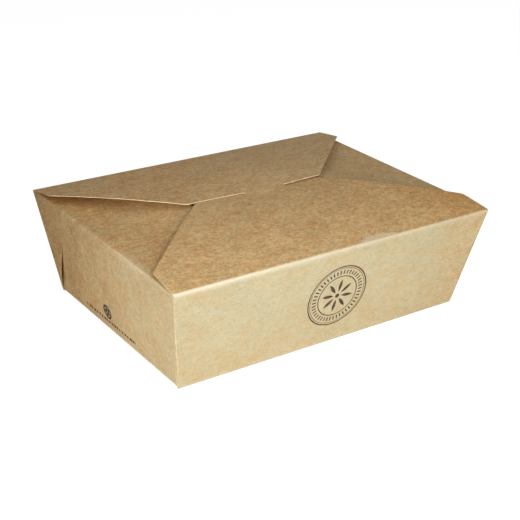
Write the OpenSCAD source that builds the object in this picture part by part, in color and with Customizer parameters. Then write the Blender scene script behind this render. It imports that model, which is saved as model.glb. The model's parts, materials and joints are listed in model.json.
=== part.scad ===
// Kraft takeaway box, folded from one die-cut sheet of board, shown shut.
// Four walls lean out from the base. Each corner web is folded in two and glued flat outside an end wall.
// The end flaps fold in first, the front flap over them, and the rear flap last: its tab tucks into a slit.
// X runs along the box, the front is at -Y, and the origin is the centre of the underside.

/* [Base and walls] */
// Length of the base between its creases
base_l = 197; // [150:1:240]
// Width of the base between its creases
base_w = 140.4; // [110:0.2:180]
// Upright height of the long walls
wall_h = 64.7; // [45:0.1:90]
// How far each end wall leans out between base and rim
end_lean_out = 10.4; // [5:0.1:16]
// How far each long wall leans out between base and rim
long_lean_out = 13.8; // [5:0.1:18]
// Thickness of the board
board_t = 0.45; // [0.35:0.05:0.6]
// Outside radius of the folds round the base
base_fold_r = 0.9; // [0.75:0.05:1.5]
// Outside radius of the four upright corner folds
corner_fold_r = 0.8; // [0.5:0.05:1.2]
// Outside radius of the folds along the rim
rim_fold_r = 1.1; // [0.8:0.05:1.6]

/* [Long lid flaps] */
// Rise of the shut lid from the rim to its seam
lid_rise = 7.4; // [5:0.1:10]
// Gap between the front flap and the rear flap that laps over it
lap_gap = 0.3; // [0.2:0.05:0.5]
// Length of each long flap's straight sides, from the crease
side_l = 22; // [14:1:30]
// How much each long flap narrows along its straight sides
side_inset = 0.9; // [0:0.1:3]
// Where the front flap's slanted edges meet the seam, from the middle
front_seam_half = 45; // [38:0.5:55]
// How far the front flap runs on under the rear one
front_tail = 14; // [10:1:20]
// Left end of the rear flap's seam edge, from the middle
rear_seam_left = 50.5; // [42:0.5:60]
// Right end of the rear flap's seam edge, from the middle
rear_seam_right = 45.5; // [42:0.5:60]
// Running gap between the rear flap and its crease bead
crease_gap = 0.28; // [0.2:0.02:0.4]

/* [Tab and slit] */
// Width of the rear flap's tab at its neck
tab_w = 26; // [18:1:36]
// Place of the tab's middle along the seam
tab_x = 4.5; // [-8:0.5:8]
// How deep the tab reaches below the lid
tab_depth = 13; // [9:0.5:16]
// How much the tab narrows on each side towards its tip
tab_taper = 2.5; // [0:0.5:5]
// Radius of the tab's lower corners
tab_corner_r = 4; // [2:0.5:6]
// Outside radius of the bend where the tab turns down
tab_bend_r = 1; // [0.8:0.05:1.3]
// Gap round the tab in the front flap's slit
slit_gap = 0.3; // [0.25:0.05:0.5]
// Depth of the small cuts beside the tab's neck
neck_cut = 2.4; // [1.6:0.2:4]

/* [End flaps and corner webs] */
// Width of each end flap along its crease
end_flap_w = 162; // [110:1:166]
// Length of each end flap
end_flap_l = 62; // [40:1:64]
// Slant of the end flaps' sides
end_flap_taper = 33; // [20:1:40]
// Upward tilt of the end flaps
end_flap_tilt = 2.8; // [1:0.2:3.4]
// Corner radius at the end flaps' tips
end_flap_corner_r = 9; // [4:1:14]
// How far the end creases lie below the long ones
end_drop = 0.9; // [0.5:0.1:1.5]
// Slant of the webs' free edges up the end walls
web_slant = 21.5; // [15:0.5:30]
// Length of the stretch of the rear left web's free edge that has sprung off the wall
sprung_l = 44; // [25:1:50]
// How far that edge stands off at its widest
sprung_gap = 1.6; // [0.5:0.1:2.5]

/* [Hidden] */
kraft = [0.80, 0.68, 0.48];
kraft_lid = [0.72, 0.58, 0.40];
$fn = 48;
vault_fn = 720;
// Room by which trimming shapes and cuts run past what they cut
spare = 30;
// How far one piece of the sheet runs into the next where they join
bury = 0.1;

// The long walls lean out more than the end walls, which lie behind two plies of web.
end_lean = atan(end_lean_out / wall_h);
long_lean = atan(long_lean_out / wall_h);
web_t = 2 * board_t;
half_l = base_l / 2;
half_w = base_w / 2;
rim_half_l = half_l + end_lean_out;
rim_half_w = half_w + long_lean_out;
slope_l = wall_h / cos(end_lean);
// The long walls' ends stand just past the outer plies, as the folds that wrap round them do.
end_inset = (web_t + 0.03) / cos(end_lean);
end_foot = half_l - end_inset;

// The two long flaps are shallow vaults about lines along X, the front one lower by a board and the lap gap.
front_rise = lid_rise - board_t - lap_gap;
rear_vault_r = vault_radius(lid_rise);
front_vault_r = vault_radius(front_rise);
rear_vault_z = wall_h + lid_rise - rear_vault_r;
front_vault_z = wall_h + front_rise - front_vault_r;
flap_side_half = rim_half_l - side_inset;
seam_run = rim_half_w - side_l;
tail_half = front_seam_half - front_tail * (flap_side_half - front_seam_half) / seam_run;

// Centre of the bead that stands for the rear crease: tangent to the rear wall and to the rear flap's vault.
wall_up = [sin(long_lean), cos(long_lean)];
wall_in = [-cos(long_lean), sin(long_lean)];
bead_from = [half_w, -rear_vault_z] + rim_fold_r * wall_in;
bead_rise = -bead_from * wall_up
    + sqrt(pow(bead_from * wall_up, 2) - bead_from * bead_from + pow(rear_vault_r - rim_fold_r, 2));
bead = [half_w, 0] + rim_fold_r * wall_in + bead_rise * wall_up;

// The tab follows a circle about the rear crease, so that it draws straight out of the slit.
tab_bend = [tab_bend_r, wall_h + lid_rise - tab_bend_r];
tab_arc_r = norm(tab_bend - bead) + tab_bend_r;
tab_lean = atan((tab_bend[1] - bead[1]) / (bead[0] - tab_bend[0]));
tab_tip_z = wall_h + lid_rise - tab_depth;
slit_front = -slit_gap - 0.1;
slit_rear = board_t + slit_gap + 0.1;

// The end creases, and the heights at which the walls give way to the rim folds.
end_rim = [end_foot + (wall_h - end_drop) * tan(end_lean), wall_h - end_drop];
long_join_z = wall_h - 1.4 * rim_fold_r;
end_join_z = wall_h - end_drop - 1.4 * rim_fold_r;

function vault_radius(rise) = (pow(rim_half_w, 2) + pow(rise, 2)) / (2 * rise);

function unit(v) = v / norm(v);
function left(v) = [-v[1], v[0]];
function backwards(list) = [for (i = [len(list) - 1 : -1 : 0]) list[i]];
function mirrored(pts) = [for (p = backwards(pts)) [-p[0], p[1]]];

// One corner of an outline, rounded by a radius towards the points before and after it.
function round_corner(before, p, after, r) =
    let (a = unit(before - p), b = unit(after - p), half = acos(a * b) / 2,
         c = p + unit(a + b) * r / sin(half),
         from = p + a * r / tan(half) - c,
         to = p + b * r / tan(half) - c,
         start = atan2(from[1], from[0]),
         turn = (atan2(to[1], to[0]) - start + 540) % 360 - 180)
    [for (k = [0 : 6]) c + r * [cos(start + turn * k / 6), sin(start + turn * k / 6)]];

// An outline or path with some of its corners rounded; an open path has no radius at its ends.
function rounded(pts, radii) =
    let (n = len(pts))
    [for (i = [0 : n - 1])
        each radii[i] == 0 ? [pts[i]] : round_corner(pts[(i + n - 1) % n], pts[i], pts[(i + 1) % n], radii[i])];

// A path moved to its left by a distance.
function moved_left(pts, by) =
    let (last = len(pts) - 1)
    [for (i = [0 : last])
        let (a = left(unit(pts[max(i, 1)] - pts[max(i, 1) - 1])),
             b = left(unit(pts[min(i, last - 1) + 1] - pts[min(i, last - 1)])))
        pts[i] + by * (a + b) / (1 + a * b)];

// Section of the folded sheet: its outer face follows a path, and the board lies to the path's left.
function sheet(path, radii) =
    concat(rounded(path, radii),
           backwards(rounded(moved_left(path, board_t), [for (r = radii) r == 0 ? 0 : r - board_t])));

function vault_points(radius, z, from, to, count) =
    [for (k = [0 : count]) let (y = from + (to - from) * k / count) [y, z + sqrt(radius * radius - y * y)]];

module along_x(length = 2 * (rim_half_l + spare))
    rotate([90, 0, 90]) linear_extrude(length, center = true) children();

module along_y(length = 2 * (rim_half_w + spare))
    rotate([90, 0, 0]) linear_extrude(length, center = true) children();

module rod_x(at, r, length, fn = 48)
    translate([0, at[0], at[1]]) rotate([0, 90, 0]) cylinder(r = r, h = length, center = true, $fn = fn);

// Everything between two heights, as wide as the box and more.
module layer(low, high)
    translate([-rim_half_l - spare, -rim_half_w - spare, low])
        cube([2 * (rim_half_l + spare), 2 * (rim_half_w + spare), high - low]);

// Section along the box's length between the end walls' slopes, up to a height, with rounded lower corners.
module trough_section(half, fold_r, top) {
    side = [[half, 0], [half + top * tan(end_lean), top]];
    polygon(rounded(concat(side, mirrored(side)), [fold_r, 0, 0, fold_r]));
}

// What lies inside the middle of the long walls' thickness, so that what joins them ends within the board.
module between_long_walls(top) {
    tangent = base_fold_r / tan((90 + long_lean) / 2);
    side = [[half_w - tangent, -1], [half_w - tangent, board_t / 2],
            [half_w - board_t / 2 / cos(long_lean) + board_t / 2 * tan(long_lean), board_t / 2],
            [half_w - board_t / 2 / cos(long_lean) + top * tan(long_lean), top]];
    along_x() polygon(rounded(concat(side, mirrored(side)),
                              [0, 0, base_fold_r - board_t / 2, 0, 0, base_fold_r - board_t / 2, 0, 0]));
}

// A long wall with its fold at the base, drawn at +Y from a path that goes on to its rim.
module long_wall(rim_path, rim_radii)
    along_x()
        polygon(sheet(concat([[half_w - 2 * base_fold_r, 0], [half_w, 0]], rim_path),
                      concat([0, base_fold_r], rim_radii)));

// The front wall and the front flap: one sheet over the front crease, with the slit for the tab.
module front() {
    crease = -rim_half_w;
    flap = vault_points(front_vault_r, front_vault_z, rim_half_w - 4, -front_tail, 14);
    outline = rounded([[-rim_half_l, crease - 1], [rim_half_l, crease - 1], [rim_half_l, crease],
                       [flap_side_half, crease + side_l], [tail_half, front_tail],
                       [-tail_half, front_tail], [-flap_side_half, crease + side_l], [-rim_half_l, crease]],
                      [0, 0, 0, 0.6, 3, 3, 0.6, 0]);
    difference() {
        intersection() {
            mirror([0, 1, 0])
                long_wall(concat([[rim_half_w, wall_h]], flap), concat([rim_fold_r], [for (p = flap) 0]));
            union() {
                along_y() trough_section(half_l, base_fold_r, long_join_z);
                translate([0, 0, long_join_z - bury]) linear_extrude(spare) polygon(outline);
            }
        }
        translate([tab_x - tab_w / 2 - slit_gap, slit_front, wall_h])
            cube([tab_w + 2 * slit_gap, slit_rear - slit_front, lid_rise + 2]);
    }
}

// The rear wall, up to the bead that stands for its crease.
module rear() {
    top = [half_w, 0] + (bead_rise - 0.45 * rim_fold_r) * wall_up;
    intersection() {
        long_wall([top], [0]);
        along_y() trough_section(half_l, base_fold_r, wall_h);
    }
    rod_x(bead, rim_fold_r, 2 * rim_half_l);
}

// The base, the end walls and the end flaps, as one strip folded round the box's length.
module end_strip() {
    tip = end_rim + end_flap_l * [-cos(end_flap_tilt), sin(end_flap_tilt)];
    half_path = [[end_foot, 0], end_rim, tip];
    root_half = end_flap_w / 2;
    tip_half = root_half - end_flap_l * tan(end_flap_taper);
    outline = rounded([[rim_half_l + 1, -root_half], [rim_half_l + 1, root_half],
                       [end_rim[0] - 2 * rim_fold_r, root_half], [tip[0], tip_half],
                       [tip[0], -tip_half], [end_rim[0] - 2 * rim_fold_r, -root_half]],
                      [0, 0, 0, end_flap_corner_r, end_flap_corner_r, 0]);
    intersection() {
        along_y() polygon(sheet(concat(mirrored(half_path), half_path),
                                [0, rim_fold_r, base_fold_r, base_fold_r, rim_fold_r, 0]));
        union() {
            between_long_walls(end_join_z);
            for (side = [0, 180])
                rotate(side) translate([0, 0, end_join_z - bury / 2]) linear_extrude(spare) polygon(outline);
        }
    }
}

// Puts a shape on the outside of the +X end wall: its x along Y, its y up the slope, its z outwards.
module on_end_wall()
    translate([end_foot, 0, 0]) rotate([0, end_lean, 0]) rotate([90, 0, 90]) children();

function free_edge(v) = [half_w - v * tan(web_slant), v];

// Trims a web, drawn at +X and +Y, to the room between the folds and the long wall.
module web_room()
    intersection() {
        children();
        between_long_walls(end_join_z);
        layer(base_fold_r, end_join_z - bury);
    }

// One corner web, two plies thick. Its free edge is a fold, so it ends in a round nose.
module web_flat()
    web_room()
        on_end_wall() translate(free_edge(0)) rotate(web_slant)
            translate([0, 2 * slope_l, 0]) rotate([90, 0, 0]) linear_extrude(2 * slope_l)
                polygon(concat([for (k = [0 : 6]) board_t * [1 - sin(180 * k / 6), 1 - cos(180 * k / 6)]],
                               [[half_w, web_t], [half_w, -bury], [board_t + 2 * bury, -bury]]));

// The rear left web, whose free edge has sprung off the wall in a shallow lens below its glued top.
module web_sprung() {
    foot_v = base_fold_r;
    low_v = 2 * base_fold_r;
    high_v = sprung_l * cos(web_slant);
    mid_v = 0.42 * high_v;
    notch = [half_w + mid_v * sin(long_lean) - 3, mid_v + 2];
    low = free_edge(low_v);
    high = free_edge(high_v);
    far = half_w + slope_l;
    corners = [low + [bury, -0.6], free_edge(mid_v), high + [-0.3, 0.8], notch + [1, 0.4]];
    web_room() on_end_wall() {
        translate([0, 0, -bury]) linear_extrude(web_t + bury)
            polygon([low, free_edge(foot_v - 1), [far, foot_v - 1], [far, 2 * slope_l],
                     free_edge(2 * slope_l), high, notch]);
        polyhedron(
            [for (level = [bury, web_t - bury / 2], i = [0 : 3])
                [corners[i][0], corners[i][1], i == 1 ? level + sprung_gap : level]],
            [[0, 3, 1], [1, 3, 2], [4, 5, 7], [5, 6, 7],
             [0, 1, 5], [0, 5, 4], [1, 2, 6], [1, 6, 5], [2, 3, 7], [2, 7, 6], [3, 0, 4], [3, 4, 7]]);
    }
}

// What rounding takes off the upright corner fold at +X and +Y. The corner's line leans over both walls at once.
module corner_trim() {
    turn = atan2(long_lean_out, end_lean_out);
    tilt = atan(norm([end_lean_out, long_lean_out]) / wall_h);
    across = [cos(tilt) * cos(turn), cos(tilt) * sin(turn), -sin(tilt)];
    along = [-sin(turn), cos(turn), 0];
    end_out = [cos(end_lean), 0, -sin(end_lean)];
    long_out = [0, cos(long_lean), -sin(long_lean)];
    end_angle = atan2(end_out * along, end_out * across);
    long_angle = atan2(long_out * along, long_out * across);
    half = 90 - (long_angle - end_angle) / 2;
    side = [-cos(half), sin(half)];
    normal = [sin(half), cos(half)];
    touch = corner_fold_r / tan(half) * side;
    arc = round_corner(10 * side, [0, 0], 10 * [side[0], -side[1]], corner_fold_r);
    translate([half_l, half_w, 0]) rotate([0, tilt, turn]) rotate((long_angle + end_angle) / 2)
        translate([0, 0, -spare / 3]) linear_extrude(spare / 3 + (long_join_z + bury) / cos(tilt))
            polygon(concat([touch + normal], arc, [[touch[0] + normal[0], -touch[1] - normal[1]], [2, 0]]));
}

module folded_box()
    color(kraft)
        difference() {
            union() {
                front();
                rear();
                end_strip();
                web_flat();
                mirror([0, 1, 0]) web_flat();
                rotate(180) web_flat();
                mirror([1, 0, 0]) web_sprung();
            }
            for (x = [0, 1], y = [0, 1])
                mirror([x, 0, 0]) mirror([0, y, 0]) corner_trim();
        }

// The tab: a bend at the seam, then a strip that follows its circle down through the slit.
module tab() {
    half = tab_w / 2;
    out = 2 * tab_bend_r;
    neck_z = tab_bend[1] - 3;
    outline = rounded([[tab_x - half, tab_tip_z + spare], [tab_x - half, neck_z],
                       [tab_x - half + tab_taper, tab_tip_z], [tab_x + half - tab_taper, tab_tip_z],
                       [tab_x + half, neck_z], [tab_x + half, tab_tip_z + spare]],
                      [0, 0, tab_corner_r, tab_corner_r, 0, 0]);
    intersection() {
        union() {
            difference() {
                rod_x(tab_bend, tab_bend_r, 2 * spare);
                rod_x(tab_bend, tab_bend_r - board_t, 2 * spare + 2);
                translate([0, tab_bend[0], tab_bend[1]])
                    along_x() polygon([[0, out], [0, 0], out * [-cos(tab_lean), sin(tab_lean)],
                                       2 * out * [-1, -1], 2 * out * [1, -1], 2 * out * [1, 1]]);
            }
            difference() {
                rod_x(bead, tab_arc_r, 2 * spare, vault_fn);
                rod_x(bead, tab_arc_r - board_t, 2 * spare + 2, vault_fn);
                translate([-2 * spare, tab_bend[0], tab_bend[1]]) rotate([-tab_lean, 0, 0])
                    translate([0, -4 * rim_half_w, 0]) cube([4 * spare, 8 * rim_half_w, 4 * rim_half_w]);
                translate([-2 * spare, tab_bend[0] + spare / 3, -4 * rim_half_w])
                    cube([4 * spare, 8 * rim_half_w, 8 * rim_half_w]);
            }
        }
        along_y() polygon(outline);
    }
}

module rear_flap() {
    crease = rim_half_w;
    cut_w = 0.6;
    outline = rounded([[rim_half_l, bead[0]], [-rim_half_l, bead[0]],
                       [-flap_side_half, crease - side_l], [-rear_seam_left, 0],
                       [rear_seam_right, 0], [flap_side_half, crease - side_l]],
                      [0, 0, 0.6, 0.6, 0.6, 0.6]);
    color(kraft_lid)
        union() {
            difference() {
                intersection() {
                    difference() {
                        rod_x([0, rear_vault_z], rear_vault_r, 2 * rim_half_l + 2, vault_fn);
                        rod_x([0, rear_vault_z], rear_vault_r - board_t, 2 * rim_half_l + 4, vault_fn);
                    }
                    translate([0, 0, wall_h - 5]) linear_extrude(lid_rise + 10) polygon(outline);
                }
                rod_x(bead, rim_fold_r + crease_gap, 2 * rim_half_l + 2);
                // The tab's neck leaves the sheet here, between two small cuts.
                translate([tab_x - tab_w / 2, -1, wall_h]) cube([tab_w, 1 + tab_bend_r, lid_rise + 5]);
                for (side = [-1, 1])
                    translate([tab_x + side * (tab_w + cut_w) / 2 - cut_w / 2, -1, wall_h])
                        cube([cut_w, 1 + neck_cut, lid_rise + 5]);
            }
            tab();
        }
}

folded_box();
rear_flap();
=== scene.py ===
# %% [markdown]
# A kraft takeaway box.
# The real box is one die-cut sheet of brown board, creased, folded up and glued at its corners.
# This script follows that: it draws each panel as rows and columns of the flat sheet, bends the rows round
# the creases, gives the board its thickness, and then lays the kraft finish on in the flat sheet's own
# coordinates, so that the fibres run the way the mill made them, whichever way a panel ends up facing.

# %% Load the packed model
import json
import math
from collections import namedtuple

import bpy
import numpy as np
from mathutils import Matrix


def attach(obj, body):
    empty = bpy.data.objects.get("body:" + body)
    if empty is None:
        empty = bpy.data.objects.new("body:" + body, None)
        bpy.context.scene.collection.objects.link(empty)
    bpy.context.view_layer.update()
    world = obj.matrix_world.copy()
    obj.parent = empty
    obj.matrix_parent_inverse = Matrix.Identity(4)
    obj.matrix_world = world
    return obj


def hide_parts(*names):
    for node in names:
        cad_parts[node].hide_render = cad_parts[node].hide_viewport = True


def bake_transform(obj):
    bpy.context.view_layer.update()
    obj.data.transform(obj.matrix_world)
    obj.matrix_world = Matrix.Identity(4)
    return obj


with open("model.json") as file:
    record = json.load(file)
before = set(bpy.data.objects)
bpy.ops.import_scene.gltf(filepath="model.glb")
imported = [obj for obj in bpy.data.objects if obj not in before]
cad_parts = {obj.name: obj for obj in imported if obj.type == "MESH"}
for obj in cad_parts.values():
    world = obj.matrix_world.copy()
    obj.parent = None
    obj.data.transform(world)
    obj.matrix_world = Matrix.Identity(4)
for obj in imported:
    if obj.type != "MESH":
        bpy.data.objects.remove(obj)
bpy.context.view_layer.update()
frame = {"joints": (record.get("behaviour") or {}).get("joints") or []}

# %% [markdown]
# The camera comes first, because every later choice is judged through it.
# It could be aimed by hand until the picture fits. Here its place, heading, tilt and roll are written down,
# and its three axes are worked out from them, so that it stands in the same spot each time.
# It looks at the left corner from a little above the lid, through a long lens, which keeps the box's edges
# nearly parallel and calm.

# %% Camera
CAMERA_AT = (-0.36399, -0.520356, 0.318514)  # metres
HEADING, TILT, ROLL = 0.613119, 0.433344, 0.027477  # radians
FOCAL_PX, PICTURE_PX = 1136.25, 520
SENSOR = 36  # mm


def placed(right, top, away, at):
    """The matrix of a camera or lamp that looks against away, from its axes and its place."""
    return Matrix([[right[i], top[i], away[i], at[i]] for i in range(3)] + [[0, 0, 0, 1]])


forward = np.array([
    math.sin(HEADING) * math.cos(TILT),
    math.cos(HEADING) * math.cos(TILT),
    -math.sin(TILT),
])
level = np.array([math.cos(HEADING), -math.sin(HEADING), 0.0])
upright = np.cross(level, forward)
across = math.cos(ROLL) * level + math.sin(ROLL) * upright
upwards = math.cos(ROLL) * upright - math.sin(ROLL) * level

lens = bpy.data.cameras.new("camera")
lens.sensor_width = SENSOR
lens.lens = FOCAL_PX / PICTURE_PX * SENSOR
lens.clip_start = 0.01
lens.clip_end = 20
camera = bpy.data.objects.new("camera", lens)
camera.matrix_world = placed(across, upwards, -forward, CAMERA_AT)
bpy.context.scene.collection.objects.link(camera)
bpy.context.scene.camera = camera
print("lens", round(lens.lens, 2), "mm")

# %% [markdown]
# All sizes are the solid model's, in millimetres. The long walls lean out a little more than the ends, and
# the two long lid flaps are shallow vaults, because each one is sprung between its crease and the seam in
# the middle.

# %% Sizes of the box
BOARD = 0.45
BASE_L, BASE_W = 197.0, 140.4
WALL_H = 64.7
END_LEAN_OUT, LONG_LEAN_OUT = 10.4, 13.8
BASE_FOLD, CORNER_FOLD, RIM_FOLD, END_RIM_FOLD = 0.9, 0.8, 1.1, 0.35  # the creases' outer radii
LID_RISE, LAP_GAP = 7.4, 0.3  # the seam above the rim, and the room between the lapping flaps
SIDE_L, SIDE_INSET = 22.0, 0.9  # the long flaps' short straight sides
FRONT_SEAM_HALF, FRONT_TAIL = 45.0, 14.0  # the front flap at the seam, and its run under the rear flap
REAR_SEAM_LEFT, REAR_SEAM_RIGHT = 50.5, 45.5  # the rear flap's far edge, on each side of the middle
TAB_W, TAB_X, TAB_DEPTH, TAB_TAPER, TAB_CORNER, TAB_BEND = 26.0, 4.5, 13.0, 2.5, 4.0, 1.0
SLIT_GAP, NECK_CUT, NECK_CUT_W = 0.3, 2.4, 0.6
END_FLAP_W, END_FLAP_L, END_TAPER, END_TILT, END_CORNER, END_DROP = 162.0, 62.0, 33.0, 2.8, 9.0, 0.9
WEB_SLANT = math.radians(21.5)
UNDER_BASE = 1.8  # how far the long walls' board turns in under the base

HALF_L, HALF_W = BASE_L / 2, BASE_W / 2
RIM_L, RIM_W = HALF_L + END_LEAN_OUT, HALF_W + LONG_LEAN_OUT
END_SLOPE, LONG_SLOPE = END_LEAN_OUT / WALL_H, LONG_LEAN_OUT / WALL_H
END_LEAN, LONG_LEAN = math.atan(END_SLOPE), math.atan(LONG_SLOPE)
END_FOOT = HALF_L - (2 * BOARD + 0.03) / math.cos(END_LEAN)  # the end walls stand inside their webs
print("end and long walls lean", [round(math.degrees(lean), 1) for lean in (END_LEAN, LONG_LEAN)], "degrees")

# %% [markdown]
# A fold is a path seen from its end: straight stretches joined by small bends. Each row of a panel is one
# point of that path, with the direction its outer face looks in and how far along the flat sheet it lies.
# A bevel on finished panels would also round the folds, but it knows nothing of the board's thickness or of
# the flat sheet. Bending a path and then spreading each point into a row keeps both.

# %% Paths through folds
ROW_STEP, BEND_STEPS = 2.0, 10  # the longest row, and the rows in a bend
GUARD = 0.12  # a narrow flat row on each side of a bend keeps its shading out of the panels
CREASE_REACH = 0.9  # how far past a bend the board is marked by it
# Columns, row by row: distance out, height, outward normal, run along the sheet, and how creased it is
Path = namedtuple("Path", "out up normal run crease")


def fold_path(corners, radii):
    """A path round corners, each bent to its radius."""
    corners = [np.array(c, float) for c in corners]
    rows, bends, run = [], [], 0.0

    def add(point, angle):
        nonlocal run
        if rows:
            run += np.hypot(*(point - rows[-1][0]))
        rows.append((point, angle, run))

    def straight(to, angle):
        start = rows[-1][0]
        pieces = max(1, math.ceil(np.hypot(*(to - start)) / ROW_STEP))
        for k in range(1, pieces + 1):
            add(start + (to - start) * k / pieces, angle)

    heading = [math.atan2(*(b - a)[::-1]) for a, b in zip(corners, corners[1:])]
    add(corners[0], heading[0])
    for i in range(1, len(corners) - 1):
        before, after = heading[i - 1], heading[i]
        turn = (after - before + math.pi) % (2 * math.pi) - math.pi
        if not radii[i]:
            straight(corners[i], before)
            rows[-1] = (rows[-1][0], before + turn / 2, rows[-1][2])
            continue
        reach = radii[i] * math.tan(abs(turn) / 2)
        ahead = np.array([math.cos(before), math.sin(before)])
        straight(corners[i] - (reach + GUARD) * ahead, before)
        straight(corners[i] - reach * ahead, before)
        inward = math.copysign(1, turn) * np.array([-ahead[1], ahead[0]])
        centre = rows[-1][0] + radii[i] * inward
        bend_from = run
        for k in range(1, BEND_STEPS + 1):
            angle = before + turn * k / BEND_STEPS
            side = math.copysign(1, turn) * np.array([-math.sin(angle), math.cos(angle)])
            add(centre - radii[i] * side, angle)
        bends.append((bend_from, run))
        add(rows[-1][0] + GUARD * np.array([math.cos(after), math.sin(after)]), after)
    straight(corners[-1], heading[-1])

    point, angle, along = (np.array([row[k] for row in rows]) for k in range(3))
    normal = np.stack([np.sin(angle), -np.cos(angle)], 1)
    crease = np.zeros(len(rows))
    for low, high in bends:
        away = np.maximum(np.maximum(low - along, along - high), 0)
        crease = np.maximum(crease, np.exp(-(away / CREASE_REACH) ** 2))
    return Path(point[:, :1], point[:, 1:], normal, along[:, None], crease[:, None])


print("rows in a rim fold", len(fold_path([(0, 0), (0, 9), (-9, 9)], [0, RIM_FOLD, 0]).run))

# %% [markdown]
# The long lid flaps are arcs from rim to rim. A vault is fixed by its rise at the seam, and its rows are
# worked out from the arc, so that the front flap lies just under the rear one all the way.

# %% Vaults of the lid
FRONT_RISE = LID_RISE - BOARD - LAP_GAP


def vault_radius(rise):
    return (RIM_W * RIM_W + rise * rise) / (2 * rise)


def vault(rise, ys):
    """Points of a shallow vault over the rim at the given distances from the middle."""
    radius = vault_radius(rise)
    return [(y, WALL_H + rise - radius + math.sqrt(radius * radius - y * y)) for y in ys]


VAULT_R = vault_radius(LID_RISE)
VAULT_Z = WALL_H + LID_RISE - VAULT_R
print("the rear flap's vault has a radius of", round(VAULT_R), "mm")

# %% [markdown]
# A sheet gathers patches of rows and columns. Where two patches share points they are welded, so a wall and
# the web beside it become one skin. Each point has a partner on the inner face, a board's thickness behind
# it. A Solidify modifier would do this too, but here the cut edges of the board are wanted as faces of their
# own, because the raw edge of kraft board is paler than its skin, and that thin pale line is what the eye
# reads as board.

# %% Sheets of board
class Sheet:
    def __init__(self, name):
        self.name, self.index, self.points, self.faces = name, {}, [], []

    def patch(self, outer, normal, blank, crease, keep=None, board=BOARD, painted_light=0.0):
        """A grid of points. blank is a point's place on the flat sheet, and keep says which squares stay."""
        rows, columns = outer.shape[:2]
        inner = outer - board * normal
        crease, painted_light = (np.broadcast_to(v, (rows, columns)) for v in (crease, painted_light))
        number = np.zeros((rows, columns), int)
        for at in np.ndindex(rows, columns):
            key = tuple(np.round(outer[at], 4))
            if key not in self.index:
                self.index[key] = len(self.points)
                self.points.append((outer[at], inner[at], blank[at], crease[at], painted_light[at]))
            number[at] = self.index[key]
        square = np.stack([number[:-1, :-1], number[:-1, 1:], number[1:, 1:], number[1:, :-1]], -1)
        facing = np.cross(outer[:-1, 1:] - outer[:-1, :-1], outer[1:, :-1] - outer[:-1, :-1])
        if (facing * normal[:-1, :-1]).sum() < 0:
            square = square[..., ::-1]
        for at in np.ndindex(rows - 1, columns - 1):
            corners = list(dict.fromkeys(square[at].tolist()))
            if len(corners) > 2 and (keep is None or keep[at]):
                self.faces.append(corners)

    def build(self, finishes):
        """The closed mesh: outer face, inner face and the cut edges between them."""
        outer, inner, blank, crease, painted_light = (np.array(values) for values in zip(*self.points))
        count = len(outer)
        sides = dict.fromkeys(pair for face in self.faces for pair in zip(face, face[1:] + face[:1]))
        cut = [(a, b) for a, b in sides if (b, a) not in sides]
        faces = [list(f) for f in self.faces]
        faces += [[v + count for v in f[::-1]] for f in self.faces]
        faces += [[b, a, a + count, b + count] for a, b in cut]
        points = np.concatenate([outer, inner]) / 1000
        seen = sorted({v for f in faces for v in f})
        renumber = {v: i for i, v in enumerate(seen)}
        mesh = bpy.data.meshes.new(self.name)
        mesh.from_pydata(points[seen].tolist(), [], [[renumber[v] for v in f] for f in faces])
        mesh.polygons.foreach_set("use_smooth", [True] * len(faces))
        mesh.polygons.foreach_set("material_index", [0] * (len(faces) - len(cut)) + [1] * len(cut))
        places = np.concatenate([blank, blank])[seen].ravel()
        mesh.attributes.new("blank", "FLOAT_VECTOR", "POINT").data.foreach_set("vector", places)
        for name, values in (("crease", crease), ("painted_light", painted_light)):
            mesh.attributes.new(name, "FLOAT", "POINT").data.foreach_set("value", np.tile(values, 2)[seen])
        rims = {tuple(sorted((renumber[a + k], renumber[b + k]))) for a, b in cut for k in (0, count)}
        sharp = [tuple(sorted(e.vertices)) in rims for e in mesh.edges]
        mesh.attributes.new("sharp_edge", "BOOLEAN", "EDGE").data.foreach_set("value", sharp)
        for finish in finishes:
            mesh.materials.append(finish)
        mesh.validate()
        piece = bpy.data.objects.new(self.name, mesh)
        bpy.context.scene.collection.objects.link(piece)
        print(self.name, len(mesh.vertices), "points,", len(cut), "cut edges")
        return piece


# %% [markdown]
# The panels share a few small helpers: one that joins coordinates of any shape into a grid of points, one
# that spreads the rows into columns between knots, a soft step, and the faint unevenness that no real board
# is without.

# %% Grids, soft steps and ripples
LONG_PATTERN, ENDS_PATTERN, LID_PATTERN = 3, 7, 11  # third coordinates that keep patterns apart
RIPPLE = 0.05


def grid(x, y, z):
    """Rows and columns of points from coordinates of any shapes that fit together."""
    return np.stack(np.broadcast_arrays(x, y, z), -1).astype(float)


def spread(knots, counts):
    """Columns between each row's knots, with a number of even steps from knot to knot."""
    parts = []
    for k, n in enumerate(counts):
        share = np.linspace(0, 1, n + 1)[None, (k > 0):]
        parts.append(knots[:, k, None] + (knots[:, k + 1] - knots[:, k])[:, None] * share)
    return np.concatenate(parts, 1)


def ease(value, low, high):
    """0 at low, 1 at high, smooth between."""
    t = np.clip((value - low) / (high - low), 0, 1)
    return t * t * (3 - 2 * t)


def ripple(along, across):
    """A few long waves that never line up."""
    waves = [(0.021, 0.043, 0.4), (0.052, -0.017, 1.9), (-0.034, 0.061, 3.3), (0.083, 0.029, 5.1)]
    return RIPPLE * sum(np.sin(math.pi * (a * along + b * across) + c) for a, b, c in waves) / 2


print("a ripple lifts the board by up to", round(float(ripple(np.arange(200.0), 0).max()), 3), "mm")

# %% [markdown]
# Shader maths could be drawn as nodes one by one, but a page of them is hard to read. So a small class wraps
# a socket and lets Python's own operators add the Math nodes. It also makes soft steps, and the stretched
# noise that all of the board's pattern comes from.

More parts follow.
